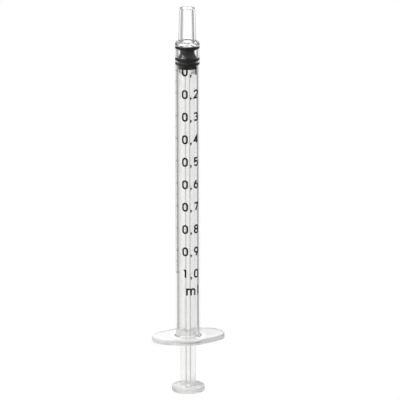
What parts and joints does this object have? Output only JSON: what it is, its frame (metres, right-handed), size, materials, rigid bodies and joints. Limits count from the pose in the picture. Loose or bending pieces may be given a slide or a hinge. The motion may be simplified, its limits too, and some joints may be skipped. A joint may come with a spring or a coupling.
{
  "type": "syringe",
  "caption": "Clear 1 ml luer slip syringe with a sliding cross-ribbed plunger, a black rubber stopper, an oval finger flange and a round thumb disc.",
  "frame": {"origin": "centre of the thumb disc's underside, which is the point the syringe stands on", "axes": "+Z along the barrel towards the nozzle's tip, X along the finger flange's long axis, Y across it; the scale's numbers face -Y"},
  "size_m": [0.0184, 0.0122, 0.0979],
  "materials": {
    "barrel_plastic": "clear injection-moulded polypropylene, polished mould",
    "rod_plastic": "clear injection-moulded polypropylene, slightly hazy",
    "stopper_rubber": "black moulded rubber, lightly siliconed"
  },
  "bodies": {
    "barrel": {"barrel": "barrel_plastic"},
    "plunger": {"plunger_rod": "rod_plastic", "stopper": "stopper_rubber"}
  },
  "joints": [
    {"name": "plunger_slide", "type": "slide", "parent": "barrel", "child": "plunger", "axis": [0, 0, -1], "range_m": [0, 0.0675]}
  ]
}
